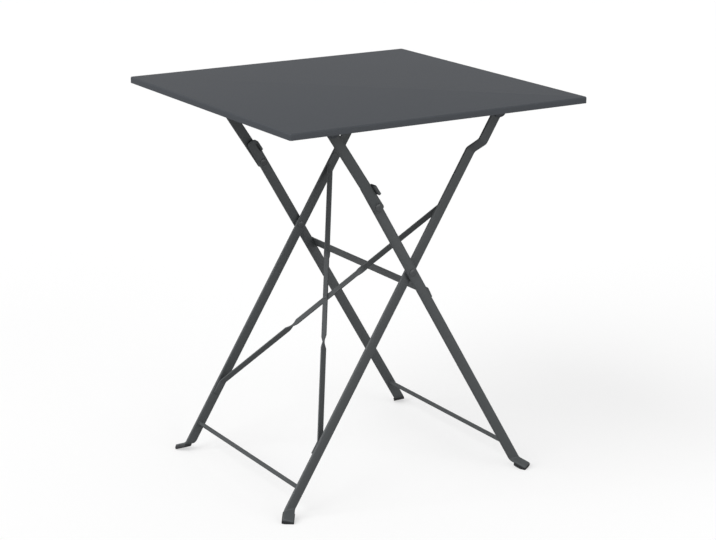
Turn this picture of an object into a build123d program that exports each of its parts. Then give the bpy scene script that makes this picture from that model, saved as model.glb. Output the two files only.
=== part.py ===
from build123d import *
import math
import os

# Folding garden table, standing open
# Millimetres, z up, origin on the floor under the middle of the top
# The near side is -y, the far side is +y; near pieces are mirror images of far ones

os.makedirs("parts", exist_ok=True)

# Driving sizes of the table
top_side = 600.0
table_height = 715.0
sheet = 1.0
edge_depth = 11.5
edge_bend = 2.5
top_corner = 4.0

# Flat steel bar of the legs and links
bar_width = 20.0
bar_thick = 5.0
bar_round = 2.2
end_radius = 14.0

# Heights and spread of the frames
pivot_height = 415.0
hinge_drop = 27.0
inner_foot_x = 258.1
outer_foot_x = 242.4
link_hinge_x = 170.5
knee_reach = 150.9
leg_past_knee = 50.0

# Distance of the inner legs' middle from the table's middle, and the gaps out to the next bars
inner_layer = 192.0
pivot_gap = 4.0
knee_gap = 3.0

# Joggle of the inner legs
joggle_drop = 52.0
joggle_rise = 21.0
joggle_bend = 9.0

# Feet: a tongue bent out of the leg, cut square, in a thin plastic shoe
foot_bend = 6.0
tongue_length = 25.0
tongue_slope = math.radians(24)
tip_height = 5.2
cap_wall = 0.9
cap_sole = 2.4
cap_rim = 1.4
cap_length = 14.0
cap_round = 1.6

# Rods and the cross bar
rod_across = 8.0
rod_height = 51.0
cross_width = 19.0
cross_thick = 3.0
cross_drop = 54.0
cross_round = 0.9

# Twisted braces of the inner frame, measured along the legs from the pivot
brace_width = 12.0
brace_thick = 3.0
brace_round = 0.8
brace_top = 128.0
brace_foot = 340.0
brace_set = 2.0
brace_tab = 24.0
brace_bend = 6.0
twist_middle = 72.0
twist_length = 26.0

# Stop tab on the outer legs
tab_start = 20.0
tab_length = 20.0
tab_thick = 5.0
tab_past_link = 6.0
tab_root = 5.0
tab_bend = 3.0

# Hinge ears under the top
ear_thick = 3.0
ear_width = 26.0
ear_shift = 1.0
ear_below = 11.0
ear_corner = 8.0
ear_foot = 16.0
ear_bend = 2.0

# Rivets
pin_radius = 3.0
hole_gap = 0.05
head_radius = 7.0
head_height = 2.2
head_lip = 0.9
head_crown = 4.2
brace_head = 4.4
brace_head_height = 1.5
brace_pin_radius = 2.0
spacer_radius = 9.0
run_gap = 0.3

# Cutting overrun, and how finely bends, twists, rounded edges and heads are made
overrun = 60.0
bend_steps = 4
twist_steps = 8
round_steps = 2
head_sides = 18

# Values worked out from the sizes
inner_lean = inner_foot_x / pivot_height
outer_lean = -outer_foot_x / pivot_height
inner_angle = math.atan(inner_lean)
outer_angle = math.atan(outer_lean)
half_bar = bar_width / 2
half_thick = bar_thick / 2
hole_radius = pin_radius + hole_gap
outer_layer = inner_layer + bar_thick + pivot_gap
link_layer = outer_layer + bar_thick + knee_gap
tab_reach = link_layer + half_thick + tab_past_link
skin_under = table_height - sheet
hinge_height = table_height - hinge_drop
joggle_high = hinge_height - joggle_drop
joggle_low = joggle_high - joggle_rise


def turned(v, angle):
    # Turn a flat direction by an angle
    c = math.cos(angle)
    s = math.sin(angle)
    return (v[0] * c - v[1] * s, v[0] * s + v[1] * c)


def trace(points, radii, steps):
    # Follow a line with rounded corners; each group holds stations (place, direction, travelled)
    groups = []
    travelled = 0.0
    here = points[0]
    for i in range(1, len(points)):
        there = points[i]
        step = (there[0] - points[i - 1][0], there[1] - points[i - 1][1])
        length = math.hypot(step[0], step[1])
        d0 = (step[0] / length, step[1] / length)
        if i == len(points) - 1:
            run = math.hypot(there[0] - here[0], there[1] - here[1])
            groups.append([(here, d0, travelled), (there, d0, travelled + run)])
            break
        after = (points[i + 1][0] - there[0], points[i + 1][1] - there[1])
        turn = math.atan2(d0[0] * after[1] - d0[1] * after[0], d0[0] * after[0] + d0[1] * after[1])
        radius = radii[i - 1]
        back = radius * math.tan(abs(turn) / 2)
        start = (there[0] - d0[0] * back, there[1] - d0[1] * back)
        run = math.hypot(start[0] - here[0], start[1] - here[1])
        groups.append([(here, d0, travelled), (start, d0, travelled + run)])
        travelled += run
        side = turned(d0, math.copysign(math.pi / 2, turn))
        middle = (start[0] + side[0] * radius, start[1] + side[1] * radius)
        bend = []
        for k in range(steps + 1):
            part_turn = turn * k / steps
            arm = turned((-side[0], -side[1]), part_turn)
            place = (middle[0] + arm[0] * radius, middle[1] + arm[1] * radius)
            bend.append((place, turned(d0, part_turn), travelled + radius * abs(part_turn)))
        groups.append(bend)
        travelled += radius * abs(turn)
        here = bend[-1][0]
    return groups


def bar_face(wide, thick, corner, steps):
    # Cross section of a rolled bar with its edges broken in small flats
    points = []
    for side_x, side_y, first in ((1, 1, 0), (-1, 1, 1), (-1, -1, 2), (1, -1, 3)):
        for k in range(steps + 1):
            angle = (first + k / steps) * math.pi / 2
            x = side_x * (wide / 2 - corner) + corner * math.cos(angle)
            y = side_y * (thick / 2 - corner) + corner * math.sin(angle)
            points.append((x, y))
    return make_face(Polyline(*points, close=True))


def leg_blank(points, radii, lean):
    # Flat bar bent about lines along x; it drifts along x by the lean for every length it runs
    groups = trace(points, radii, bend_steps)
    at_pivot = 0.0
    for group in groups:
        low = group[0]
        high = group[-1]
        if low[0][1] < pivot_height < high[0][1]:
            at_pivot = low[2] + pivot_height - low[0][1]
    wide = bar_width / math.cos(math.atan(lean))
    blank = None
    for group in groups:
        sections = []
        for place, way, travelled in group:
            x = lean * (travelled - at_pivot)
            seat = Plane(origin=(x, place[0], place[1]), x_dir=(1, 0, 0), z_dir=(0, way[0], way[1]))
            sections.append(seat * bar_face(wide, bar_thick, bar_round, round_steps))
        piece = loft(sections, ruled=True)
        blank = piece if blank is None else blank + piece
    return blank, lean * (groups[-1][-1][2] - at_pivot)


def along_y(x, z, start, end, radius):
    # Round bar lying along y
    seat = Plane(origin=(x, start, z), x_dir=(1, 0, 0), z_dir=(0, 1, 0))
    return seat * Cylinder(radius, end - start, align=(Align.CENTER, Align.CENTER, Align.MIN))


def head(x, z, seat_y, way):
    # Low crowned rivet head standing on a face, way is +1 outward or -1 inward
    seat = Plane(origin=(x, seat_y, z), x_dir=(1, 0, 0), z_dir=(0, way, 0))
    return seat * crowned(head_radius, head_height)


def crowned(radius, height):
    # A head's lip and crown, standing on z = 0
    share = height / head_height
    rise = (head_height - head_lip) * share
    lean = math.degrees(math.atan2(radius * (1 - head_crown / head_radius), rise))
    lip = extrude(RegularPolygon(radius, head_sides), head_lip * share)
    low = Pos(0, 0, head_lip * share) * RegularPolygon(radius, head_sides)
    return lip + extrude(low, rise, taper=lean)


def spacer(x, z, start, end):
    # Washer between two bars
    ring = along_y(x, z, start, end, spacer_radius)
    return ring - along_y(x, z, start, end, hole_radius)


def hole(x, z, layer):
    return along_y(x, z, layer - bar_thick, layer + bar_thick, hole_radius)


def end_cut(x, z, layer, angle):
    # What to remove from a bar so that it ends in a shallow arc at a point
    way = (math.sin(angle), 0, math.cos(angle))
    x -= end_radius * way[0]
    z -= end_radius * way[2]
    seat = Plane(origin=(x, layer, z), x_dir=(0, 1, 0), z_dir=way)
    block = seat * Box(overrun, overrun, overrun, align=(Align.CENTER, Align.CENTER, Align.MIN))
    return block - along_y(x, z, layer - overrun, layer + overrun, end_radius)


def tongue_end(layer, lean):
    # Middle of a tongue's end, and the ways across it, out along it and up from it
    out = tongue_length * math.cos(tongue_slope)
    low = pivot_height - tip_height - tongue_length * math.sin(tongue_slope)
    bend_turn = math.pi / 2 - tongue_slope
    spare = foot_bend * (2 * math.tan(bend_turn / 2) - bend_turn)
    tip = (-lean * (low + tongue_length - spare), layer + out, tip_height)
    across = (1, lean * math.cos(tongue_slope), -lean * math.sin(tongue_slope))
    along = (-lean, math.cos(tongue_slope), -math.sin(tongue_slope))
    up = (0, math.sin(tongue_slope), math.cos(tongue_slope))
    return tip, across, along, up


def square_end(layer, lean):
    # What to remove from a blank so that its tongue ends square to the bar
    tip, across, along, up = tongue_end(layer, lean)
    seat = Plane(origin=tip, x_dir=across, z_dir=along)
    return seat * Box(overrun, overrun, overrun, align=(Align.CENTER, Align.CENTER, Align.MIN))


def foot_cap(leg, layer, lean):
    # Thin shoe under and round the tongue's end, worn level with the floor
    tip, across, along, up = tongue_end(layer, lean)
    seat = Plane(origin=tip, x_dir=across, z_dir=up)
    half = half_bar + cap_wall
    corners = [(-half, -cap_length), (half, -cap_length), (half, cap_wall), (-half, cap_wall)]
    outline = make_face(Polyline(*corners, close=True))
    outline = fillet(outline.vertices().sort_by(Axis.Y)[-2:], cap_round)
    under = half_thick + cap_sole
    over = cap_rim - half_thick
    cap = seat * extrude(Pos(0, 0, -under) * outline, amount=under + over)
    ground = Pos(tip[0], tip[1], 0) * Box(
        2 * overrun, 2 * overrun, overrun, align=(Align.CENTER, Align.CENTER, Align.MAX)
    )
    return cap - ground - leg


def near_of(piece):
    return mirror(piece, about=Plane.XZ)


parts = {}

# Top: a tray with its edges turned down
shell = extrude(RectangleRounded(top_side, top_side, top_corner), edge_depth)
shell = fillet(shell.faces().sort_by(Axis.Z)[-1].edges(), edge_bend)
hollow_side = top_side - 2 * sheet
hollow = extrude(RectangleRounded(hollow_side, hollow_side, top_corner - sheet), edge_depth - sheet)
hollow = chamfer(hollow.faces().sort_by(Axis.Z)[-1].edges(), sheet)
parts["table_top"] = Pos(0, 0, table_height - edge_depth) * (shell - hollow)

# Foot tongue, the same on both frames, drawn longer and then cut square
tongue_blank = tongue_length + half_bar
blank_out = tongue_blank * math.cos(tongue_slope)
blank_tip = tip_height - half_bar * math.sin(tongue_slope)
bend_height = tip_height + tongue_length * math.sin(tongue_slope)

# Inner legs: joggled outward below the top hinge
leg_points = [
    (inner_layer + blank_out, blank_tip),
    (inner_layer, bend_height),
    (inner_layer, joggle_low),
    (link_layer, joggle_high),
    (link_layer, hinge_height + bar_width),
]
inner_leg, spare_x = leg_blank(leg_points, (foot_bend, joggle_bend, joggle_bend), inner_lean)
inner_leg -= square_end(inner_layer, inner_lean)
top_hinge_x = spare_x - inner_lean * bar_width
end_x = top_hinge_x + half_bar * math.sin(inner_angle)
end_z = hinge_height + half_bar * math.cos(inner_angle)
inner_leg -= end_cut(end_x, end_z, link_layer, inner_angle)
inner_leg -= hole(top_hinge_x, hinge_height, link_layer)
inner_leg -= hole(0, pivot_height, inner_layer)
parts["inner_leg_far"] = inner_leg
parts["inner_leg_near"] = near_of(inner_leg)

# Outer legs: straight, with a stop tab past the knee
knee_x = knee_reach * math.sin(outer_angle)
knee_z = pivot_height + knee_reach * math.cos(outer_angle)
end_reach = knee_reach + leg_past_knee
end_x = end_reach * math.sin(outer_angle)
end_z = pivot_height + end_reach * math.cos(outer_angle)
outer_points = [
    (outer_layer + blank_out, blank_tip),
    (outer_layer, bend_height),
    (outer_layer, end_z + bar_width),
]
outer_leg, spare_x = leg_blank(outer_points, (foot_bend,), outer_lean)
outer_leg -= square_end(outer_layer, outer_lean)
outer_leg -= end_cut(end_x, end_z, outer_layer, outer_angle)

# The tab is bent outward over the link's upper edge
link_angle = math.atan2(-link_hinge_x - knee_x, hinge_height - knee_z)
link_way = (math.sin(link_angle), 0, math.cos(link_angle))
link_side = (math.cos(link_angle), 0, -math.sin(link_angle))
link_frame = Plane(origin=(knee_x, 0, knee_z), x_dir=link_side, z_dir=link_way)
tab_inside = half_bar + run_gap
tab_outside = tab_inside + tab_thick
leg_in = outer_layer - half_thick
leg_out = outer_layer + half_thick
tab_shape = make_face(
    Polyline(
        (tab_root, leg_in),
        (tab_outside, leg_in),
        (tab_outside, tab_reach),
        (tab_inside, tab_reach),
        (tab_inside, leg_out),
        (tab_root, leg_out),
        close=True,
    )
)
tab_edge = tab_shape.vertices().sort_by(Axis.X)[-2:].sort_by(Axis.Y)[0]
tab_shape = fillet(tab_edge, tab_bend)
tab = link_frame * extrude(Pos(0, 0, tab_start) * tab_shape, amount=tab_length)
outer_leg += tab
outer_leg -= hole(0, pivot_height, outer_layer)
outer_leg -= hole(knee_x, knee_z, outer_layer)
parts["outer_leg_far"] = outer_leg
parts["outer_leg_near"] = near_of(outer_leg)

# Upper links from the knee to the top
link_length = math.hypot(-link_hinge_x - knee_x, hinge_height - knee_z)
link_face = bar_face(bar_width, bar_thick, bar_round, round_steps)
link_blank = extrude(link_face, link_length + 2 * bar_width)
link = link_frame * Pos(0, link_layer, -bar_width) * link_blank
low_x = knee_x - half_bar * link_way[0]
low_z = knee_z - half_bar * link_way[2]
high_x = -link_hinge_x + half_bar * link_way[0]
high_z = hinge_height + half_bar * link_way[2]
link -= end_cut(low_x, low_z, link_layer, link_angle + math.pi)
link -= end_cut(high_x, high_z, link_layer, link_angle)
link -= hole(knee_x, knee_z, link_layer)
link -= hole(-link_hinge_x, hinge_height, link_layer)
parts["link_far"] = link
parts["link_near"] = near_of(link)

# Foot caps
inner_cap = foot_cap(inner_leg, inner_layer, inner_lean)
outer_cap = foot_cap(outer_leg, outer_layer, outer_lean)
parts["inner_cap_far"] = inner_cap
parts["inner_cap_near"] = near_of(inner_cap)
parts["outer_cap_far"] = outer_cap
parts["outer_cap_near"] = near_of(outer_cap)

# Round rods near the floor
inner_face = inner_layer - half_thick
outer_face = outer_layer - half_thick
rod_radius = rod_across / 2
inner_rod_x = inner_lean * (rod_height - pivot_height)
outer_rod_x = outer_lean * (rod_height - pivot_height)
parts["inner_rod"] = along_y(inner_rod_x, rod_height, -inner_face, inner_face, rod_radius)
parts["outer_rod"] = along_y(outer_rod_x, rod_height, -outer_face, outer_face, rod_radius)

# Cross bar on the upper edges of the outer legs
outer_way = (math.sin(outer_angle), 0, math.cos(outer_angle))
outer_side = (math.cos(outer_angle), 0, -math.sin(outer_angle))
outer_frame = Plane(origin=(0, 0, pivot_height), x_dir=outer_side, z_dir=outer_way)
cross_blank = Box(cross_thick, 2 * leg_out, cross_width, align=(Align.MIN, Align.CENTER, Align.CENTER))
cross_blank = fillet(cross_blank.edges().filter_by(Axis.Y), cross_round)
parts["cross_bar"] = outer_frame * Pos(half_bar, 0, -cross_drop) * cross_blank

# Braces: two of the same bar, one turned round. Each is flat in the middle and on edge
# towards the legs, by two quarter twists of the same hand, with tabs flat on the legs
inner_way = (math.sin(inner_angle), 0, math.cos(inner_angle))
inner_side = (math.cos(inner_angle), 0, -math.sin(inner_angle))
inner_frame = Plane(origin=(0, 0, pivot_height), x_dir=inner_side, z_dir=inner_way)


def brace_section(place, way, turn, shift):
    across = (math.cos(turn), way[1] * math.sin(turn), -way[0] * math.sin(turn))
    seat = Plane(origin=(shift, place[0], place[1]), x_dir=across, z_dir=(0, way[0], way[1]))
    return seat * bar_face(brace_width, brace_thick, brace_round, 1)


def brace(shift):
    # One flat bar from the near leg's top to the far leg's foot
    tab_y = inner_face - brace_thick / 2
    points = [
        (-tab_y, brace_top + brace_tab),
        (-tab_y, brace_top),
        (tab_y, -brace_foot),
        (tab_y, -brace_foot - brace_tab),
    ]
    groups = trace(points, (brace_bend, brace_bend), bend_steps)
    body = None
    start = groups[2][0]
    end = groups[2][1]
    way = start[1]
    turns = [(start[0], 0.0)]
    runs = []
    for centre, first in ((-twist_middle, 0), (twist_middle, 1)):
        run = []
        for k in range(twist_steps + 1):
            share = k / twist_steps
            y = centre + (share - 0.5) * twist_length * abs(way[0])
            z = start[0][1] + (y - start[0][0]) * way[1] / way[0]
            run.append(((y, z), (first + share) * math.pi / 2))
        runs.append(run)
    stretches = [
        [(start[0], 0.0), runs[0][0]],
        runs[0],
        [runs[0][-1], runs[1][0]],
        runs[1],
        [runs[1][-1], (end[0], math.pi)],
    ]
    for group in groups[:2] + groups[3:]:
        sections = []
        for place, here, travelled in group:
            sections.append(brace_section(place, here, 0.0, shift))
        piece = loft(sections, ruled=True)
        body = piece if body is None else body + piece
    for stretch in stretches:
        sections = []
        for place, turn in stretch:
            sections.append(brace_section(place, way, turn, shift))
        body += loft(sections, ruled=True)
    return body


cross_z = (brace_top - brace_foot) / 2
flat_seat = Plane(origin=(0, 0, cross_z), x_dir=(0, 1, 0), z_dir=(1, 0, 0))
centred = (Align.CENTER, Align.CENTER, Align.CENTER)
brace_hole = flat_seat * Cylinder(brace_pin_radius + hole_gap, overrun, align=centred)
falling = brace(brace_thick / 2) - brace_hole
rising = Rot(0, 0, 180) * falling
set_back = Pos(-brace_set, 0, 0)
parts["brace_falling"] = inner_frame * set_back * falling
parts["brace_rising"] = inner_frame * set_back * rising

# Rivet where the braces cross
brace_pin = flat_seat * Cylinder(brace_pin_radius, 2 * brace_thick, align=centred)
for way in (1, -1):
    seat = Plane(origin=(way * brace_thick, 0, cross_z), x_dir=(0, 1, 0), z_dir=(way, 0, 0))
    brace_pin += seat * crowned(brace_head, brace_head_height)
parts["brace_rivet"] = inner_frame * set_back * brace_pin

# Scissor pivots: rivet and spacer ride on the inner legs
pivot_pin = along_y(0, pivot_height, inner_face, leg_out + run_gap, pin_radius)
pivot_pin += head(0, pivot_height, inner_face, -1)
pivot_pin += head(0, pivot_height, leg_out + run_gap, 1)
parts["pivot_rivets"] = Compound([pivot_pin.solid(), near_of(pivot_pin).solid()])
pivot_spacer = spacer(0, pivot_height, inner_layer + half_thick, outer_face - run_gap)
parts["pivot_spacers"] = Compound([pivot_spacer.solid(), near_of(pivot_spacer).solid()])

# Knee pivots: rivet and spacer ride on the outer legs
link_in = link_layer - half_thick
link_out = link_layer + half_thick
knee_pin = along_y(knee_x, knee_z, outer_face, link_out + run_gap, pin_radius)
knee_pin += head(knee_x, knee_z, outer_face, -1)
knee_pin += head(knee_x, knee_z, link_out + run_gap, 1)
parts["knee_rivets"] = Compound([knee_pin.solid(), near_of(knee_pin).solid()])
knee_spacer = spacer(knee_x, knee_z, leg_out, link_in - run_gap)
parts["knee_spacers"] = Compound([knee_spacer.solid(), near_of(knee_spacer).solid()])


def ear(x):
    # Angle under the top: an upright ear outside the bar and a foot turned inward
    ear_in = link_out + run_gap
    rise = skin_under - hinge_height
    outline = Pos(ear_shift, (rise - ear_below) / 2) * Rectangle(ear_width, rise + ear_below)
    outline = fillet(outline.vertices().sort_by(Axis.Y)[:2], ear_corner)
    upright_seat = Plane(origin=(x, ear_in + ear_thick, hinge_height), x_dir=(1, 0, 0), z_dir=(0, -1, 0))
    upright = upright_seat * extrude(outline, amount=ear_thick)
    foot = Pos(x + ear_shift, ear_in + ear_thick, skin_under) * Box(
        ear_width, ear_foot, ear_thick, align=(Align.CENTER, Align.MAX, Align.MAX)
    )
    body = upright + foot
    inner_bend = Vector(x + ear_shift, ear_in, skin_under - ear_thick)
    inside = body.edges().filter_by(Axis.X).sort_by_distance(inner_bend)[0]
    body = fillet(inside, ear_bend)
    return body - along_y(x, hinge_height, ear_in - ear_thick, ear_in + 2 * ear_thick, hole_radius)


# Ears, the rivets of the link hinges and the two halves of the leg hinges
ear_in = link_out + run_gap
ear_out = ear_in + ear_thick
leg_ear = ear(top_hinge_x)
link_ear = ear(-link_hinge_x)
parts["leg_ear_far"] = leg_ear
parts["leg_ear_near"] = near_of(leg_ear)
parts["link_ear_far"] = link_ear
parts["link_ear_near"] = near_of(link_ear)
link_pin = along_y(-link_hinge_x, hinge_height, link_in - run_gap, ear_out, pin_radius)
link_pin += head(-link_hinge_x, hinge_height, link_in - run_gap, -1)
link_pin += head(-link_hinge_x, hinge_height, ear_out, 1)
parts["link_hinge_rivets"] = Compound([link_pin.solid(), near_of(link_pin).solid()])
leg_pin = along_y(top_hinge_x, hinge_height, link_in, link_out, pin_radius)
leg_pin += head(top_hinge_x, hinge_height, link_in, -1)
parts["leg_hinge_rivets"] = Compound([leg_pin.solid(), near_of(leg_pin).solid()])
ear_pin = along_y(top_hinge_x, hinge_height, ear_in, ear_out, pin_radius)
ear_pin += head(top_hinge_x, hinge_height, ear_out, 1)
parts["ear_hinge_rivets"] = Compound([ear_pin.solid(), near_of(ear_pin).solid()])

for name, piece in parts.items():
    export_step(piece, f"parts/{name}.step")
    print(name, len(piece.solids()), round(piece.volume))
print("pivot", 0, pivot_height, "knee", round(knee_x, 3), round(knee_z, 3))
print("leg hinge", round(top_hinge_x, 3), "link hinge", -link_hinge_x, "height", hinge_height)
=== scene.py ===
import bpy
import bmesh
import math
from mathutils import Matrix, Vector


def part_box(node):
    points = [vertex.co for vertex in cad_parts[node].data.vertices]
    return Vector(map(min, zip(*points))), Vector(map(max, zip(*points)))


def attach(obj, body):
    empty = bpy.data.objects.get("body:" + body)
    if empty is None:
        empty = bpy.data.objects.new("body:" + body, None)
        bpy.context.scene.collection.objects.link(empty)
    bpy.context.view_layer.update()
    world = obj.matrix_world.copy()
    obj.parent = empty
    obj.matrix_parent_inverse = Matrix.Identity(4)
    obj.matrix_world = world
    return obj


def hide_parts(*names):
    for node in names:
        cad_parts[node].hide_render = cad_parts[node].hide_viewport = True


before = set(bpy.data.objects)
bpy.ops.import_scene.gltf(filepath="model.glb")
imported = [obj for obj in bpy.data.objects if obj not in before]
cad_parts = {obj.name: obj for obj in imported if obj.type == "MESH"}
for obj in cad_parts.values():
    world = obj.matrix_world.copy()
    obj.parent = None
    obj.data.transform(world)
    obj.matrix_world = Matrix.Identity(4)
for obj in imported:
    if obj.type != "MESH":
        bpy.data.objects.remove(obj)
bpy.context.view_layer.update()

# %% [markdown]
# The object is a folding garden table: a square sheet steel top on two crossed
# frames of flat bar, all powder coated in dark grey, with plastic shoes on the feet.
# Lengths are in metres. The sizes are those of the solids, apart from a few that were
# later read more closely off the photograph: the inner legs' joggle, the places of the
# braces' twists, the ears' corners, the seat of the cross bar and the shoes.

# %% Sizes
MM = 0.001
top_side = 600 * MM
table_height = 715 * MM
sheet = 1 * MM
edge_depth = 11.5 * MM
edge_bend = 2.5 * MM
top_corner = 4 * MM
bar_width = 20 * MM
bar_thick = 5 * MM
bar_round = 2.2 * MM
end_radius = 14 * MM
pivot_height = 415 * MM
hinge_height = table_height - 27 * MM
inner_foot_x = 258.1 * MM
outer_foot_x = 242.4 * MM
link_hinge_x = -170.5 * MM
knee_reach = 150.9 * MM
leg_past_knee = 50 * MM
run_gap = 0.3 * MM
half_bar = bar_width / 2
half_thick = bar_thick / 2
inner_layer = 192 * MM
outer_layer = inner_layer + bar_thick + 4 * MM
link_layer = outer_layer + bar_thick + 3 * MM
inner_lean = inner_foot_x / pivot_height
outer_lean = -outer_foot_x / pivot_height
inner_angle = math.atan(inner_lean)
outer_angle = math.atan(outer_lean)
print("inner legs lean", round(math.degrees(inner_angle), 2),
      "outer", round(math.degrees(outer_angle), 2))

# %% [markdown]
# The photograph looks down on the table from the front left. The camera stands
# well back with a long lens, so that upright lines stay almost parallel. Its place
# and its lens are those that lay the top's corners, the bars and the rods on the
# photograph's.

# %% Camera
aim = Vector((0.01061, -0.00182, 0.36891))
stand = Vector((-1.78154, -2.91388, 1.3558))
film_width = 36
lens_length = 96.41
bpy.ops.object.camera_add(location=stand)
camera = bpy.context.object
camera.name = "photo_camera"
camera.rotation_euler = (aim - stand).to_track_quat("-Z", "Y").to_euler()
camera.data.sensor_fit = "HORIZONTAL"
camera.data.sensor_width = film_width
camera.data.lens = lens_length
bpy.context.scene.camera = camera
print("camera distance", round((aim - stand).length, 3))

# %% [markdown]
# A studio with an even white surround. It is white to the camera, but it lights the
# table only at a plain level, so that the lamps can give the faces different tones.

# %% Surround
white = (1, 1, 1, 1)
lighting_strength = 0.5
backdrop_strength = 1
scene = bpy.context.scene
scene.view_settings.view_transform = "Standard"
world = bpy.data.worlds.new("studio_surround")
scene.world = world
world.use_nodes = True
tree = world.node_tree
tree.nodes.clear()
rays = tree.nodes.new("ShaderNodeLightPath")
lighting = tree.nodes.new("ShaderNodeBackground")
lighting.inputs["Color"].default_value = white
lighting.inputs["Strength"].default_value = lighting_strength
backdrop = tree.nodes.new("ShaderNodeBackground")
backdrop.inputs["Color"].default_value = white
backdrop.inputs["Strength"].default_value = backdrop_strength
either = tree.nodes.new("ShaderNodeMixShader")
tree.links.new(rays.outputs["Is Camera Ray"], either.inputs["Fac"])
tree.links.new(lighting.outputs[0], either.inputs[1])
tree.links.new(backdrop.outputs[0], either.inputs[2])
surround = tree.nodes.new("ShaderNodeOutputWorld")
tree.links.new(either.outputs[0], surround.inputs["Surface"])
print("surround made")

# %% [markdown]
# The floor is one large plane just under the shoes. It is matt and takes the soft
# shadows. For the camera alone it also glows, just enough to run into the white
# surround without a line.

# %% Floor
floor_size = 40
floor_gap = 0.5 * MM
floor_grey = 0.45
floor_glow = 0.545
bpy.ops.mesh.primitive_plane_add(size=floor_size, location=(0, 0, -floor_gap))
floor = bpy.context.object
floor.name = "studio_floor"
pale = bpy.data.materials.new("pale_floor")
pale.use_nodes = True
tree = pale.node_tree
tree.nodes.clear()
matt = tree.nodes.new("ShaderNodeBsdfDiffuse")
matt.inputs["Color"].default_value = (floor_grey, floor_grey, floor_grey, 1)
glow = tree.nodes.new("ShaderNodeEmission")
glow.inputs["Color"].default_value = white
rays = tree.nodes.new("ShaderNodeLightPath")
lift = tree.nodes.new("ShaderNodeMath")
lift.operation = "MULTIPLY"
lift.inputs[1].default_value = floor_glow
tree.links.new(rays.outputs["Is Camera Ray"], lift.inputs[0])
tree.links.new(lift.outputs[0], glow.inputs["Strength"])
both = tree.nodes.new("ShaderNodeAddShader")
tree.links.new(matt.outputs[0], both.inputs[0])
tree.links.new(glow.outputs[0], both.inputs[1])
ground = tree.nodes.new("ShaderNodeOutputMaterial")
tree.links.new(both.outputs[0], ground.inputs["Surface"])
floor.data.materials.append(pale)
print("floor made")

# %% [markdown]
# Two very wide suns: the stronger one from the left, a weaker one from the front. A
# sun lights the floor evenly, where a lamp close by would leave a pool of light on it.


# %% Lamps
def soft_sun(name, place, spread, strength):
    # It shines from the direction of the place; the spread is in degrees
    bpy.ops.object.light_add(type="SUN", location=place)
    lamp = bpy.context.object
    lamp.name = name
    lamp.data.angle = math.radians(spread)
    lamp.data.energy = strength
    lamp.rotation_euler = (-Vector(place)).to_track_quat("-Z", "Y").to_euler()
    print(name, "strength", strength)


sun_spread = 50
soft_sun("key_left", (-2.8, -0.2, 2.3), sun_spread, 2.2)
soft_sun("fill_front", (0.8, -3.6, 1.0), sun_spread, 1.0)

# %% [markdown]
# Powder coating is baked on as a dry powder. It leaves an even colour with a soft
# gloss and a faint skin like orange peel. A flat colour would look like plastic, so
# fine noise shifts the tone and the gloss a little and a bump gives the skin. The
# shoes' moulded plastic has a fine skin of the same kind, so it is made the same way.

# %% Powder coat
cloud_scale = 9
cloud_detail = 4
grain_detail = 2
roughness_play = 0.05
skin_strength = 0.6
coat_ior = 1.45


def powder_coat(name, tone, shift, roughness, grain_scale, grain_height):
    # The tone goes up and down by the share called shift
    finish = bpy.data.materials.new(name)
    finish.use_nodes = True
    tree = finish.node_tree
    shader = tree.nodes["Principled BSDF"]
    place = tree.nodes.new("ShaderNodeTexCoord")
    cloud = tree.nodes.new("ShaderNodeTexNoise")
    cloud.inputs["Scale"].default_value = cloud_scale
    cloud.inputs["Detail"].default_value = cloud_detail
    tree.links.new(place.outputs["Object"], cloud.inputs["Vector"])
    colour = tree.nodes.new("ShaderNodeMix")
    colour.data_type = "RGBA"
    low = [max(0, c * (1 - shift)) for c in tone]
    high = [c * (1 + shift) for c in tone]
    # Of a Mix node, inputs 6 and 7 and output 2 are the ones for colours
    colour.inputs[6].default_value = (*low, 1)
    colour.inputs[7].default_value = (*high, 1)
    tree.links.new(cloud.outputs["Fac"], colour.inputs[0])
    tree.links.new(colour.outputs[2], shader.inputs["Base Color"])
    grain = tree.nodes.new("ShaderNodeTexNoise")
    grain.inputs["Scale"].default_value = grain_scale
    grain.inputs["Detail"].default_value = grain_detail
    tree.links.new(place.outputs["Object"], grain.inputs["Vector"])
    rough = tree.nodes.new("ShaderNodeMapRange")
    rough.inputs["To Min"].default_value = roughness - roughness_play
    rough.inputs["To Max"].default_value = roughness + roughness_play
    tree.links.new(grain.outputs["Fac"], rough.inputs["Value"])
    tree.links.new(rough.outputs[0], shader.inputs["Roughness"])
    skin = tree.nodes.new("ShaderNodeBump")
    skin.inputs["Strength"].default_value = skin_strength
    skin.inputs["Distance"].default_value = grain_height
    tree.links.new(grain.outputs["Fac"], skin.inputs["Height"])
    tree.links.new(skin.outputs[0], shader.inputs["Normal"])
    shader.inputs["IOR"].default_value = coat_ior
    return finish


finishes = {}
for slot, *recipe in (
    # Slot, then name, tone, shift, roughness, scale of the grain and its height
    ("top_paint", "top_powder_coat", (0.049, 0.055, 0.064), 0.04, 0.6, 700, 0.00006),
    ("frame_paint", "frame_powder_coat", (0.068, 0.074, 0.077), 0.06, 0.48, 900, 0.00005),
    ("fastener_paint", "rivet_powder_coat", (0.070, 0.075, 0.078), 0.08, 0.22, 900, 0.00004),
    ("foot_plastic", "dark_moulded_plastic", (0.022, 0.023, 0.025), 0.08, 0.5, 1600, 0.00003),
):
    finishes[slot] = powder_coat(*recipe)
print("finishes made:", ", ".join(finishes))

# %% [markdown]
# Small helpers. An operator works on everything that is selected, so all is let go
# first. Faces, edges and points are then picked in code by where they are.

# %% Helpers
same_place = 0.01 * MM
close_by = 0.1 * MM
quarter_turn = math.pi / 2
facing = 0.9
sharp_angle = 0.9
flat_crease = 35
round_crease = 40
weld_crease = 50


def let_go():
    if bpy.context.object and bpy.context.object.mode != "OBJECT":
        bpy.ops.object.mode_set(mode="OBJECT")
    bpy.ops.object.select_all(action="DESELECT")


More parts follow.
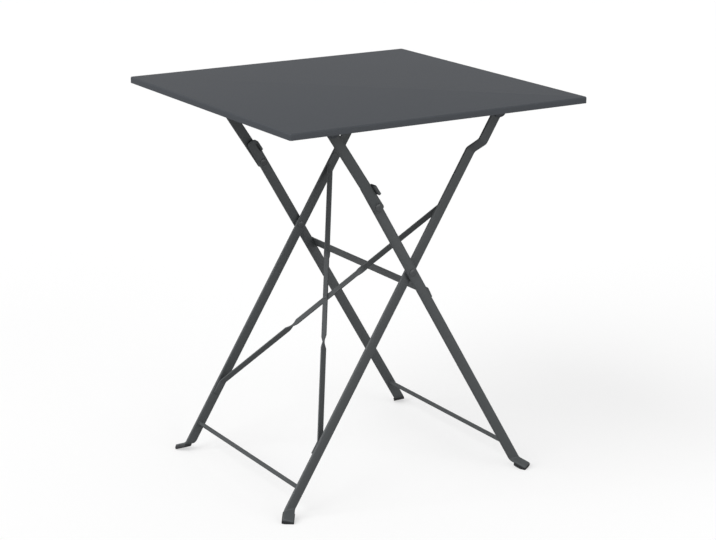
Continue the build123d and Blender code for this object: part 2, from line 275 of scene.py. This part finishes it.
def take(piece):
    # Select one piece alone
    let_go()
    piece.select_set(True)
    bpy.context.view_layer.objects.active = piece


def pick(piece, mode, wanted):
    # In edit mode, select the points, edges or faces for which wanted is true
    bpy.ops.mesh.select_mode(type=mode)
    bpy.ops.mesh.select_all(action="DESELECT")
    mesh = bmesh.from_edit_mesh(piece.data)
    for item in {"VERT": mesh.verts, "EDGE": mesh.edges, "FACE": mesh.faces}[mode]:
        if wanted(item):
            item.select_set(True)
    mesh.select_flush_mode()
    bmesh.update_edit_mesh(piece.data)


def edge_at(place, reach=close_by):
    # A test for the edge whose middle is at the place
    near = Vector(place)
    return lambda e: ((e.verts[0].co + e.verts[1].co) / 2 - near).length < reach


def pull(step):
    # Extrude what is selected
    bpy.ops.mesh.extrude_region_move(TRANSFORM_OT_translate={"value": step})


def turn_chosen(angle, axis, middle):
    # Turn what is selected; with no window the operator turns the other way, hence the minus
    bpy.ops.transform.rotate(value=-angle, orient_axis=axis, center_override=middle)


def face_out(piece):
    # Merge points that lie in one place and turn every face outwards
    take(piece)
    bpy.ops.object.mode_set(mode="EDIT")
    bpy.ops.mesh.select_mode(type="VERT")
    bpy.ops.mesh.select_all(action="SELECT")
    bpy.ops.mesh.remove_doubles(threshold=same_place)
    bpy.ops.mesh.normals_make_consistent(inside=False)
    bpy.ops.object.mode_set(mode="OBJECT")


def apply_all(piece):
    # Work the modifiers into the mesh
    take(piece)
    for modifier in list(piece.modifiers):
        bpy.ops.object.modifier_apply(modifier=modifier.name)


def settle(piece):
    # Put the piece's place, turn and size into its mesh
    take(piece)
    bpy.ops.object.transform_apply(location=True, rotation=True, scale=True)


def soften(piece, crease=flat_crease):
    # Shade smoothly over edges that turn by less than the crease, in degrees
    take(piece)
    bpy.ops.object.shade_smooth_by_angle(angle=math.radians(crease))


def join(pieces, name):
    let_go()
    for piece in pieces:
        piece.select_set(True)
    bpy.context.view_layer.objects.active = pieces[0]
    if len(pieces) > 1:
        bpy.ops.object.join()
    whole = bpy.context.object
    whole.name = name
    whole.data.name = name
    return whole


def copy_of(piece, name):
    twin = piece.copy()
    twin.data = piece.data.copy()
    twin.name = name
    bpy.context.scene.collection.objects.link(twin)
    return twin


def other_side(piece, name):
    # The near piece is the far one's mirror image, turned right side out again
    twin = copy_of(piece, name)
    twin.scale = (1, -1, 1)
    settle(twin)
    face_out(twin)
    return twin


def fit(piece, slot, body, node):
    # Give a finished piece its finish, its moving body and the solid it stands for
    piece.data.materials.clear()
    piece.data.materials.append(finishes[slot])
    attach(piece, body)
    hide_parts(node)
    print(piece.name, len(piece.data.polygons), "faces, rides on", body)


print("helpers ready")

# %% [markdown]
# The top is one sheet pressed into a shallow tray, its edges folded down. It starts
# as a block. The bottom is opened, the upright corners and then the upper rim are
# bevelled, and Solidify gives the sheet its thickness inwards, as folding does.


# %% Top
def make_top():
    let_go()
    middle = table_height - edge_depth / 2
    bpy.ops.mesh.primitive_cube_add(
        size=1, location=(0, 0, middle), scale=(top_side, top_side, edge_depth)
    )
    tray = bpy.context.object
    settle(tray)
    bpy.ops.object.mode_set(mode="EDIT")
    pick(tray, "FACE", lambda f: f.normal.z < -facing)
    bpy.ops.mesh.delete(type="FACE")
    pick(tray, "EDGE", lambda e: abs(e.verts[0].co.z - e.verts[1].co.z) > edge_depth / 2)
    bpy.ops.mesh.bevel(offset=top_corner, segments=6)
    rim = table_height - same_place
    pick(tray, "EDGE", lambda e: min(v.co.z for v in e.verts) > rim and len(e.link_faces) == 2)
    bpy.ops.mesh.bevel(offset=edge_bend, segments=5)
    bpy.ops.mesh.select_all(action="SELECT")
    bpy.ops.mesh.normals_make_consistent(inside=False)
    bpy.ops.object.mode_set(mode="OBJECT")
    wall = tray.modifiers.new("wall", "SOLIDIFY")
    wall.thickness = sheet
    wall.offset = -1
    wall.use_even_offset = True
    apply_all(tray)
    soften(tray)
    return join([tray], "top_sheet")


top = make_top()
fit(top, "top_paint", "top", "table_top")

# %% [markdown]
# Legs, links and ears are flat steel, bent cold. A strip with no thickness is drawn
# first: a plane whose end edge is extruded from bend to bend. Bevelling the edges at
# the bends rounds them, Solidify gives the thickness and a Bevel modifier breaks the
# long edges, as rolling does. Bending a solid block would pinch it at the bends.

# %% Flat bar
bar_edge_angle = math.radians(50)
end_search = 1 * MM


def strip_along(places, wide):
    # Draw a strip whose rows lie along x with their middles at the places
    let_go()
    first = Vector(places[0])
    bpy.ops.mesh.primitive_plane_add(
        size=wide, location=first + Vector((0, 0, wide / 2)), rotation=(quarter_turn, 0, 0)
    )
    strip = bpy.context.object
    settle(strip)
    bpy.ops.object.mode_set(mode="EDIT")
    high = first.z + wide / 2
    pick(strip, "EDGE", lambda e: min(v.co.z for v in e.verts) > high)
    bpy.ops.transform.translate(value=Vector(places[1]) - first - Vector((0, 0, wide)))
    for here, there in zip(places[1:], places[2:]):
        pull(Vector(there) - Vector(here))
    return strip


def bend_at(strip, place, offset, segments):
    # Round the strip where it turns; the edge across it there is bevelled
    pick(strip, "EDGE", edge_at(place))
    bpy.ops.mesh.bevel(offset=offset, segments=segments)


def bar_from(strip, thick, edge, segments=3):
    # Give the strip its thickness and break its edges
    bpy.ops.object.mode_set(mode="OBJECT")
    wall = strip.modifiers.new("wall", "SOLIDIFY")
    wall.thickness = thick
    wall.offset = 0
    wall.use_even_offset = True
    rounded = strip.modifiers.new("edges", "BEVEL")
    rounded.width = edge
    rounded.segments = segments
    rounded.limit_method = "ANGLE"
    rounded.angle_limit = bar_edge_angle
    rounded.use_clamp_overlap = True
    apply_all(strip)
    soften(strip)
    return strip


def arc_end(strip, end, way, radius, cuts=7):
    # Turn a straight end into a shallow arc: its edge is divided and each new point
    # pushed back
    pick(strip, "EDGE", edge_at(end, end_search))
    bpy.ops.mesh.subdivide(number_cuts=cuts)
    mesh = bmesh.from_edit_mesh(strip.data)
    near = Vector(end)
    way = Vector(way).normalized()
    for v in mesh.verts:
        if v.select:
            across = (v.co - near) - (v.co - near).dot(way) * way
            drop = radius - math.sqrt(max(0, radius * radius - across.length_squared))
            v.co += -way * ((v.co - near).dot(way) + drop)
    bmesh.update_edit_mesh(strip.data)


def set_in(piece, across, along, up, place):
    # Lay a piece drawn in x, y and z along three other ways at a place
    across, along, up = [Vector(v).normalized() for v in (across, along, up)]
    piece.matrix_world = Matrix((
        (across.x, along.x, up.x, place[0]),
        (across.y, along.y, up.y, place[1]),
        (across.z, along.z, up.z, place[2]),
        (0, 0, 0, 1),
    ))
    settle(piece)


def lean_over(piece, angle):
    # Lay a piece drawn upright at a frame's lean, its origin at the scissor pivot
    set_in(piece, (math.cos(angle), 0, -math.sin(angle)), (0, 1, 0),
           (math.sin(angle), 0, math.cos(angle)), (0, 0, pivot_height))


print("bar helpers ready")

# %% [markdown]
# Each leg ends in a tongue bent outward, cut square to the bar. The bar leans, but
# bends about a level line, so the tongue drifts sideways as it runs. The strip is
# drawn too long and cut with the bisect operator, as a saw would, while it is thin.
# The joggle of the inner legs is pressed square to the bar, so its two rows, drawn
# level like the others, are turned to the lean and made shorter to suit.

# %% Leg sizes
joggle_high = hinge_height - 52 * MM
joggle_low = joggle_high - 16 * MM
joggle_bend = 9 * MM
foot_bend = 6 * MM
bend_steps = 6
tongue_length = 25 * MM
tongue_slope = math.radians(24)
tip_height = 5.2 * MM
tongue_out = math.cos(tongue_slope)
tongue_down = math.sin(tongue_slope)
foot_turn = quarter_turn - tongue_slope
blank_length = tongue_length + half_bar
bend_height = tip_height + tongue_length * tongue_down
hinge_low, hinge_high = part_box("ear_hinge_rivets")
leg_hinge_x = (hinge_low.x + hinge_high.x) / 2
print("foot bends at", round(bend_height, 4), "leg hinge at", round(leg_hinge_x, 4))


# %% Legs
def tongue_end(layer, lean):
    # Middle of a tongue's end, and the ways across it, out along it and up from it
    low = pivot_height - tip_height - tongue_length * tongue_down
    # The rounded bend is shorter than its sharp corner, so the tongue drifts a little less
    travel = low + tongue_length - foot_bend * (2 * math.tan(foot_turn / 2) - foot_turn)
    tip = Vector((-lean * travel, layer + tongue_length * tongue_out, tip_height))
    across = Vector((1, lean * tongue_out, -lean * tongue_down))
    along = Vector((-lean, tongue_out, -tongue_down))
    up = Vector((0, tongue_down, tongue_out))
    return tip, across, along, up


def square_row(strip, place, lean_angle):
    # Turn a level row about its middle until it is square to the leaning bar
    pick(strip, "EDGE", edge_at(place))
    turn_chosen(lean_angle, "Y", place)
    shorter = math.cos(lean_angle)
    bpy.ops.transform.resize(value=(shorter, shorter, shorter), center_override=place)


def leg_bar(upper, layer, lean):
    # upper holds the middles of the joggle's bends, if any, and of the top end
    lean_angle = math.atan(lean)
    half_turn = foot_turn / 2
    spare = foot_bend * (math.tan(half_turn) - half_turn)
    bend = (lean * (bend_height - pivot_height + spare), layer, bend_height)
    drift = lean * (blank_length - spare)
    blank_end = (
        bend[0] - drift,
        layer + blank_length * tongue_out,
        tip_height - half_bar * tongue_down,
    )
    places = [blank_end, bend, *upper]
    strip = strip_along(places, bar_width / math.cos(lean_angle))
    bend_at(strip, bend, foot_bend * math.tan(half_turn), bend_steps)
    for before, here, after in zip(places[1:], places[2:], places[3:]):
        square_row(strip, here, lean_angle)
        turn = (Vector(here) - Vector(before)).angle(Vector(after) - Vector(here))
        bend_at(strip, here, joggle_bend * math.tan(turn / 2), bend_steps)
    arc_end(strip, places[-1], (math.sin(lean_angle), 0, math.cos(lean_angle)), end_radius)
    tip, _, along, _ = tongue_end(layer, lean)
    bpy.ops.mesh.select_all(action="SELECT")
    bpy.ops.mesh.bisect(plane_co=tip, plane_no=along, clear_outer=True)
    return bar_from(strip, bar_thick, bar_round)


inner_upper = [(inner_lean * (joggle_low - pivot_height), inner_layer, joggle_low)]
for z in (joggle_high, hinge_height + half_bar * math.cos(inner_angle)):
    inner_upper.append((leg_hinge_x + inner_lean * (z - hinge_height), link_layer, z))
inner_bar_far = leg_bar(inner_upper, inner_layer, inner_lean)
inner_bar_far = join([inner_bar_far], "inner_bar_far")
inner_bar_near = other_side(inner_bar_far, "inner_bar_near")
fit(inner_bar_far, "frame_paint", "inner_frame", "inner_leg_far")
fit(inner_bar_near, "frame_paint", "inner_frame", "inner_leg_near")

# %% [markdown]
# The outer legs are straight, with the same feet. Past the knee each has a stop tab,
# a short lug bent outward over the link, on which the link rests when the table is up.
# It is drawn flat beside the link and bent by extruding its edge outward.

# %% Outer legs
knee_x = knee_reach * math.sin(outer_angle)
knee_z = pivot_height + knee_reach * math.cos(outer_angle)
outer_end_z = pivot_height + (knee_reach + leg_past_knee) * math.cos(outer_angle)
outer_end_x = outer_lean * (outer_end_z - pivot_height)
link_angle = math.atan2(link_hinge_x - knee_x, hinge_height - knee_z)
link_length = math.hypot(link_hinge_x - knee_x, hinge_height - knee_z)
link_way = Vector((math.sin(link_angle), 0, math.cos(link_angle)))
link_side = Vector((math.cos(link_angle), 0, -math.sin(link_angle)))
tab_start = 20 * MM
tab_length = 20 * MM
tab_root = 5 * MM
tab_bend = 3 * MM
tab_round = 1.2 * MM
tab_reach = link_layer + half_thick + 6 * MM
print("knee", round(knee_x, 4), round(knee_z, 4), "link", round(link_length, 4))


def stop_tab():
    # Drawn with x across the link, y outward from the leg's layer and z along the link
    reach = half_bar + run_gap + half_thick
    middle = (0, 0, tab_start + tab_length / 2)
    let_go()
    bpy.ops.mesh.primitive_plane_add(size=1, location=middle, rotation=(quarter_turn, 0, 0))
    lug = bpy.context.object
    lug.scale = (reach - tab_root, tab_length, 1)
    lug.location.x = (reach + tab_root) / 2
    settle(lug)
    bpy.ops.object.mode_set(mode="EDIT")
    pick(lug, "EDGE", lambda e: min(v.co.x for v in e.verts) > reach - same_place)
    pull((0, tab_reach - outer_layer, 0))
    pick(lug, "EDGE", lambda e: all(
        abs(v.co.x - reach) + abs(v.co.y) < same_place for v in e.verts
    ))
    bpy.ops.mesh.bevel(offset=tab_bend, segments=4)
    lug = bar_from(lug, bar_thick, tab_round)
    set_in(lug, link_side, (0, 1, 0), link_way, (knee_x, outer_layer, knee_z))
    face_out(lug)
    return lug


outer_bar_far = leg_bar([(outer_end_x, outer_layer, outer_end_z)], outer_layer, outer_lean)
outer_bar_far = join([outer_bar_far, stop_tab()], "outer_bar_far")
outer_bar_near = other_side(outer_bar_far, "outer_bar_near")
fit(outer_bar_far, "frame_paint", "outer_frame", "outer_leg_far")
fit(outer_bar_near, "frame_paint", "outer_frame", "outer_leg_near")

# %% [markdown]
# The links are short pieces of the same bar between the knee and the top, rounded at
# both ends so that they can swing past the tab.


# %% Links
def make_link():
    low = (0, 0, -half_bar)
    high = (0, 0, link_length + half_bar)
    strip = strip_along([low, high], bar_width)
    arc_end(strip, high, (0, 0, 1), end_radius)
    arc_end(strip, low, (0, 0, -1), end_radius)
    bar = bar_from(strip, bar_thick, bar_round)
    set_in(bar, link_side, (0, 1, 0), link_way, (knee_x, link_layer, knee_z))
    return join([bar], "link_bar_far")


link_bar_far = make_link()
link_bar_near = other_side(link_bar_far, "link_bar_near")
fit(link_bar_far, "frame_paint", "far_link", "link_far")
fit(link_bar_near, "frame_paint", "near_link", "link_near")

# %% [markdown]
# Two braces of thinner flat bar cross between the inner legs. Each has a quarter
# twist towards either end, so it is flat where they meet and on edge at the legs.
# The strip is extruded in short steps, and at a twist its end edge is turned a little
# after each step. That keeps the edges true, where a Twist modifier would need the
# bar's middle to sit at the object's origin for each of the two twists.

# %% Brace sizes
brace_width = 12 * MM
brace_thick = 3 * MM
brace_round = 0.8 * MM
brace_top = 128 * MM
brace_foot = 340 * MM
brace_set = 2 * MM
brace_tab = 24 * MM
brace_bend = 6 * MM
twist_middle = 60 * MM
twist_length = 26 * MM
twist_steps = 10
tab_y = inner_layer - half_thick - brace_thick / 2
brace_run = math.hypot(2 * tab_y, brace_top + brace_foot)
brace_slope = math.atan2(2 * tab_y, brace_top + brace_foot)
print("brace", round(brace_run, 4), "long between the legs")


# %% Braces
def make_brace():
    # Drawn upright from its foot, then laid over and given its tabs
    half = brace_run / 2
    twist_at = twist_middle / math.sin(brace_slope)
    heights = [0]
    for middle in (half - twist_at, half + twist_at):
        start = middle - twist_length / 2
        heights += [start + k / twist_steps * twist_length for k in range(twist_steps + 1)]
    heights.append(brace_run)
    strip = strip_along([(0, 0, heights[0]), (0, 0, heights[1])], brace_width)
    for below, above in zip(heights[1:], heights[2:]):
        pull((0, 0, above - below))
        # Only the steps inside a twist are this short
        if above - below < 2 * twist_length / twist_steps:
            turn_chosen(quarter_turn / twist_steps, "Z", (0, 0, above))
    bpy.ops.object.mode_set(mode="OBJECT")
    strip.rotation_euler = (brace_slope, 0, 0)
    strip.location = (0, tab_y, -brace_foot)
    settle(strip)
    bpy.ops.object.mode_set(mode="EDIT")
    for y, z, way in ((tab_y, -brace_foot, -1), (-tab_y, brace_top, 1)):
        pick(strip, "EDGE", edge_at((0, y, z)))
        pull((0, 0, way * brace_tab))
        bend_at(strip, (0, y, z), brace_bend * math.tan(brace_slope / 2), 5)
    return bar_from(strip, brace_thick, brace_round)


first_brace = make_brace()
first_brace.location.x = brace_thick / 2
settle(first_brace)
second_brace = copy_of(first_brace, "brace_copy")
second_brace.rotation_euler = (0, 0, math.pi)
settle(second_brace)
for bar, name, node in (
    (first_brace, "brace_bar_falling", "brace_falling"),
    (second_brace, "brace_bar_rising", "brace_rising"),
):
    bar.location.x = -brace_set
    settle(bar)
    lean_over(bar, inner_angle)
    bar = join([bar], name)
    fit(bar, "frame_paint", "inner_frame", node)

# %% [markdown]
# Rods and the cross bar are welded to the legs, so each joint gets a small bead: a
# row of overlapping blobs, as a welder leaves, which the paint then covers. The blobs
# swell and shrink a little along the bead, as no hand keeps them all alike.

# %% Weld beads
bead = 1.3 * MM
ring_drops = 14
row_drops = 4
ring_swell = 0.12
ring_waves = 3
ring_shift = 40
row_swell = 0.1


def blob(place, size):
    let_go()
    bpy.ops.mesh.primitive_uv_sphere_add(segments=10, ring_count=6, radius=size, location=place)
    drop = bpy.context.object
    settle(drop)
    return drop


def ring_bead(x, y, z, radius):
    # A bead round a rod where it meets a leg; y also shifts the waves of the swelling
    drops = []
    for k in range(ring_drops):
        angle = 2 * math.pi * k / ring_drops
        size = bead * (1 + ring_swell * math.sin(ring_waves * angle + ring_shift * y))
        drops.append(blob((x + radius * math.cos(angle), y, z + radius * math.sin(angle)), size))
    return drops


def row_bead(start, end):
    # A straight bead along a joint
    start, end = Vector(start), Vector(end)
    drops = []
    for k in range(row_drops):
        size = bead * (1 + row_swell * (-1) ** k)
        drops.append(blob(start.lerp(end, (k + 0.5) / row_drops), size))
    return drops


print("bead size", bead)

# %% [markdown]
# A round rod ties each pair of legs together near the floor. It is a cylinder that
# ends at the legs' inner faces, with a bead at either end.

# %% Rods
rod_radius = 4 * MM
rod_height = 51 * MM
rod_rim = 0.4 * MM
bead_off_leg = 0.35 * bead
bead_off_rod = 0.3 * bead


def round_bar(x, z, start, end, radius, sides):
    # A cylinder that runs along y from start to end
    let_go()
    bpy.ops.mesh.primitive_cylinder_add(
        vertices=sides, radius=radius, depth=end - start,
        location=(x, (start + end) / 2, z), rotation=(quarter_turn, 0, 0)
    )
    bar = bpy.context.object
    settle(bar)
    return bar


def make_rod(lean, layer, name, node, body):
    face = layer - half_thick
    x = lean * (rod_height - pivot_height)
    rod = round_bar(x, rod_height, -face, face, rod_radius, 40)
    bpy.ops.object.mode_set(mode="EDIT")
    pick(rod, "FACE", lambda f: abs(f.normal.y) > facing)
    bpy.ops.mesh.inset(thickness=rod_rim)
    bpy.ops.object.mode_set(mode="OBJECT")
    pieces = [rod]
    for side in (-1, 1):
        pieces += ring_bead(x, side * (face - bead_off_leg), rod_height, rod_radius + bead_off_rod)
    rod = join(pieces, name)
    soften(rod, weld_crease)
    fit(rod, "frame_paint", body, node)


make_rod(inner_lean, inner_layer, "inner_tie_rod", "inner_rod", "inner_frame")
make_rod(outer_lean, outer_layer, "outer_tie_rod", "outer_rod", "outer_frame")

# %% [markdown]
# The cross bar is a thin flat bar, laid over the outer legs' upper edges just below
# the scissor pivot and welded on. It is a block with bevelled edges. It is drawn
# upright, with the beads above and below it at each leg, and then laid at the legs'
# lean, so that its sizes can be read along and across the leg.

# %% Cross bar
cross_width = 19 * MM
cross_thick = 3 * MM
cross_drop = 54 * MM
cross_round = 0.9 * MM
cross_end = 0.4 * MM
cross_sunk = 0.8 * MM
cross_tilt = math.radians(4)
bead_off_bar = 0.2 * bead
row_half = 0.7 * half_thick


def make_cross_bar():
    long = 2 * (outer_layer + half_thick)
    let_go()
    bpy.ops.mesh.primitive_cube_add(
        size=1, location=(half_bar + cross_thick / 2, 0, -cross_drop)
    )
    bar = bpy.context.object
    bar.scale = (cross_thick, long, cross_width)
    settle(bar)
    bpy.ops.object.mode_set(mode="EDIT")
    pick(bar, "EDGE", lambda e: abs(e.verts[0].co.y - e.verts[1].co.y) > long / 2)
    bpy.ops.mesh.bevel(offset=cross_round, segments=4)
    pick(bar, "FACE", lambda f: abs(f.normal.y) > facing)
    bpy.ops.mesh.bevel(offset=cross_end, segments=2)
    # Pressed down while it is welded, it lies a little deeper at its lower edge
    bpy.ops.mesh.select_all(action="SELECT")
    turn_chosen(cross_tilt, "Y", (half_bar, 0, -cross_drop + cross_width / 2))
    bpy.ops.transform.translate(value=(-cross_sunk, 0, 0))
    bpy.ops.object.mode_set(mode="OBJECT")
    pieces = [bar]
    x = half_bar + bead_off_bar
    for side in (-1, 1):
        for edge in (-1, 1):
            z = -cross_drop + edge * (cross_width / 2 + bead_off_bar)
            inside, outside = side * (outer_layer - row_half), side * (outer_layer + row_half)
            pieces += row_bead((x, inside, z), (x, outside, z))
    bar = join(pieces, "cross_tie_bar")
    soften(bar, weld_crease)
    lean_over(bar, outer_angle)
    fit(bar, "frame_paint", "outer_frame", "cross_bar")


make_cross_bar()

# %% [markdown]
# Every joint turns on a solid rivet. Its head is a low dome: a short round block whose
# end face is drawn up in steps and made smaller each time, following a curve. One
# dome is modelled and copied, since the pivots' rivets are alike.

# %% Rivet sizes
pin_radius = 3 * MM
head_radius = 7 * MM
head_height = 2.2 * MM
head_lip = 0.7 * MM
head_ease = 0.2 * MM
dome_steps = 6
dome_end = math.radians(82)
pin_sides = 24
spacer_radius = 9 * MM
ear_thick = 3 * MM
in_face = inner_layer - half_thick
out_face = outer_layer - half_thick
leg_out = outer_layer + half_thick
link_in = link_layer - half_thick
link_out = link_layer + half_thick
ear_in = link_out + run_gap
ear_out = ear_in + ear_thick
print("ears lie", round(ear_in, 4), "to", round(ear_out, 4))


# %% Rivets
def make_dome(radius, height, lip, sides):
    # A head standing on the floor of its own drawing, pointing up z
    let_go()
    bpy.ops.mesh.primitive_cylinder_add(
        vertices=sides, radius=radius, depth=lip, location=(0, 0, lip / 2)
    )
    dome = bpy.context.object
    settle(dome)
    bpy.ops.object.mode_set(mode="EDIT")
    pick(dome, "FACE", lambda f: f.normal.z > facing)
    wide, high = radius, 0
    for k in range(1, dome_steps + 1):
        angle = k / dome_steps * dome_end
        new_wide = radius * math.cos(angle)
        new_high = (height - lip) * math.sin(angle)
        pull((0, 0, new_high - high))
        bpy.ops.transform.resize(value=(new_wide / wide, new_wide / wide, 1))
        wide, high = new_wide, new_high
    pick(dome, "EDGE", lambda e: all(abs(v.co.z) < same_place for v in e.verts))
    bpy.ops.mesh.bevel(offset=head_ease, segments=2)
    bpy.ops.object.mode_set(mode="OBJECT")
    return dome


def fasten(pieces, name, node, body):
    # One object of the far fastener and its mirror image on the near side
    far = join(pieces, name + "_far")
    near = other_side(far, name + "_near")
    both = join([far, near], name)
    soften(both, round_crease)
    fit(both, "fastener_paint", body, node)


def rivet_pair(name, node, body, x, z, start, end, head_in, head_out):
    # A rivet from start to end with a head at either or both ends, and its twin
    pieces = [round_bar(x, z, start, end, pin_radius, pin_sides)]
    for wanted, y, way in ((head_in, start, -1), (head_out, end, 1)):
        if wanted:
            head = copy_of(dome, "head")
            # Drawn up z, the head is turned to point along y, outward or inward
            set_in(head, (way, 0, 0), (0, 0, 1), (0, way, 0), (x, y, z))
            face_out(head)
            pieces.append(head)
    fasten(pieces, name, node, body)


dome = make_dome(head_radius, head_height, head_lip, 32)
for row in (
    ("scissor_rivets", "pivot_rivets", "inner_frame",
     0, pivot_height, in_face, leg_out + run_gap, True, True),
    ("knee_pins", "knee_rivets", "outer_frame",
     knee_x, knee_z, out_face, link_out + run_gap, True, True),
    ("link_pins", "link_hinge_rivets", "top",
     link_hinge_x, hinge_height, link_in - run_gap, ear_out, True, True),
    ("leg_pins", "leg_hinge_rivets", "inner_frame",
     leg_hinge_x, hinge_height, link_in, link_out, True, False),
    ("ear_pins", "ear_hinge_rivets", "top",
     leg_hinge_x, hinge_height, ear_in, ear_out, False, True),
):
    rivet_pair(*row)
bpy.data.objects.remove(dome)

# %% [markdown]
# The braces are held together where they cross by a smaller rivet of the same kind.
# It points along x and is laid in the inner frame in the same way as the braces.

# %% Brace rivet
small_radius = 4.4 * MM
small_height = 1.5 * MM
small_lip = 0.5 * MM
small_pin = 2 * MM


def make_brace_rivet():
    cross_z = (brace_top - brace_foot) / 2
    small = make_dome(small_radius, small_height, small_lip, 24)
    pin = round_bar(0, 0, -brace_thick, brace_thick, small_pin, pin_sides)
    set_in(pin, (0, 0, 1), (1, 0, 0), (0, 1, 0), (0, 0, cross_z))
    pieces = [pin]
    for way in (-1, 1):
        head = copy_of(small, "head")
        set_in(head, (0, 1, 0), (0, 0, way), (way, 0, 0), (way * brace_thick, 0, cross_z))
        pieces.append(head)
    bpy.data.objects.remove(small)
    rivet = join(pieces, "brace_pin")
    rivet.location.x = -brace_set
    settle(rivet)
    face_out(rivet)
    lean_over(rivet, inner_angle)
    soften(rivet, round_crease)
    fit(rivet, "fastener_paint", "inner_frame", "brace_rivet")


make_brace_rivet()

# %% [markdown]
# A washer keeps the bars apart at each pivot, so that they don't scrape their paint.
# The end faces of a short cylinder are inset, and the two small faces are bridged,
# which opens the hole.

# %% Washers
washer_play = 0.05 * MM
washer_ease = 0.35 * MM


def washer(x, z, start, end):
    ring = round_bar(x, z, start, end, spacer_radius, 40)
    bpy.ops.object.mode_set(mode="EDIT")
    pick(ring, "FACE", lambda f: abs(f.normal.y) > facing)
    bpy.ops.mesh.inset(thickness=spacer_radius - pin_radius - washer_play)
    bpy.ops.mesh.bridge_edge_loops()
    middle = Vector((x, z))
    halfway = (spacer_radius + pin_radius) / 2
    pick(ring, "EDGE", lambda e: (
        e.calc_face_angle(0) > sharp_angle and (e.verts[0].co.xz - middle).length > halfway
    ))
    bpy.ops.mesh.bevel(offset=washer_ease, segments=2)
    bpy.ops.object.mode_set(mode="OBJECT")
    return ring


scissor_washer = washer(0, pivot_height, inner_layer + half_thick, out_face - run_gap)
fasten([scissor_washer], "scissor_washers", "pivot_spacers", "inner_frame")
knee_washer = washer(knee_x, knee_z, leg_out, link_in - run_gap)
fasten([knee_washer], "knee_washers", "knee_spacers", "outer_frame")

# %% [markdown]
# Bent ears under the top carry the four hinges. They are strips like the legs, with
# the lower corners rounded by bevelling single points.

# %% Ears
ear_width = 26 * MM
ear_shift = 1 * MM
ear_below = 11 * MM
ear_corner = 11.5 * MM
ear_foot = 16 * MM
ear_bend = 2 * MM
ear_round = 0.5 * MM


def make_ear(x, name, node):
    middle = (ear_in + ear_out) / 2
    under = table_height - sheet - ear_thick / 2
    low = (x + ear_shift, middle, hinge_height - ear_below)
    corner = (x + ear_shift, middle, under)
    inner = (x + ear_shift, ear_out - ear_foot, under)
    strip = strip_along([low, corner, inner], ear_width)
    bend_at(strip, corner, ear_bend + ear_thick / 2, 5)
    pick(strip, "VERT", lambda v: v.co.z < low[2] + same_place)
    bpy.ops.mesh.bevel(offset=ear_corner, segments=6, affect="VERTICES")
    far = join([bar_from(strip, ear_thick, ear_round, 2)], name + "_far")
    near = other_side(far, name + "_near")
    fit(far, "top_paint", "top", node + "_far")
    fit(near, "top_paint", "top", node + "_near")


make_ear(leg_hinge_x, "leg_bracket", "leg_ear")
make_ear(link_hinge_x, "link_bracket", "link_ear")

# %% [markdown]
# Plastic shoes under the toes keep the paint off the ground. A block the size of the
# toe gets a rounded heel and is hollowed from above by an inset that is pushed down,
# its edges are eased, it is laid along the tongue, and the floor's plane cuts it level.

# %% Shoes
cap_wall = 0.9 * MM
cap_sole = 4.2 * MM
cap_rim = 1.4 * MM
cap_length = 24 * MM
cap_heel = 4.2 * MM
cap_round = 1.6 * MM
cap_ease = 0.3 * MM


def make_shoe(layer, lean, name, node, body):
    # Drawn with the toe's end at y 0, its length along y and z up from the toe's middle
    deep = cap_sole + cap_rim
    middle = (0, (cap_wall - cap_length) / 2, cap_rim - deep / 2 - half_thick)
    let_go()
    bpy.ops.mesh.primitive_cube_add(size=1, location=middle)
    shoe = bpy.context.object
    shoe.scale = (bar_width + 2 * cap_wall, cap_length + cap_wall, deep)
    settle(shoe)
    bpy.ops.object.mode_set(mode="EDIT")
    pick(shoe, "EDGE", lambda e: (
        all(v.co.y > 0 for v in e.verts) and abs(e.verts[0].co.z - e.verts[1].co.z) > deep / 2
    ))
    bpy.ops.mesh.bevel(offset=cap_round, segments=5)
    heel = same_place - cap_length
    pick(shoe, "EDGE", lambda e: all(v.co.y < heel and v.co.z < -half_thick for v in e.verts))
    bpy.ops.mesh.bevel(offset=cap_heel, segments=6)
    pick(shoe, "FACE", lambda f: f.normal.z > facing)
    bpy.ops.mesh.inset(thickness=cap_wall)
    pull((0, 0, -cap_rim))
    pick(shoe, "EDGE", lambda e: e.calc_face_angle(0) > sharp_angle)
    bpy.ops.mesh.bevel(offset=cap_ease, segments=2)
    bpy.ops.object.mode_set(mode="OBJECT")
    tip, across, along, up = tongue_end(layer, lean)
    set_in(shoe, across, along, up, tip)
    bpy.ops.object.mode_set(mode="EDIT")
    bpy.ops.mesh.select_all(action="SELECT")
    bpy.ops.mesh.bisect(plane_co=(0, 0, 0), plane_no=(0, 0, -1), clear_outer=True, use_fill=True)
    bpy.ops.object.mode_set(mode="OBJECT")
    far = join([shoe], name + "_far")
    face_out(far)
    soften(far, round_crease)
    near = other_side(far, name + "_near")
    fit(far, "foot_plastic", body, node + "_far")
    fit(near, "foot_plastic", body, node + "_near")


make_shoe(inner_layer, inner_lean, "inner_shoe", "inner_cap", "inner_frame")
make_shoe(outer_layer, outer_lean, "outer_shoe", "outer_cap", "outer_frame")

# %% [markdown]
# Last, all is let go, so that nothing stays selected.

# %% Last
let_go()
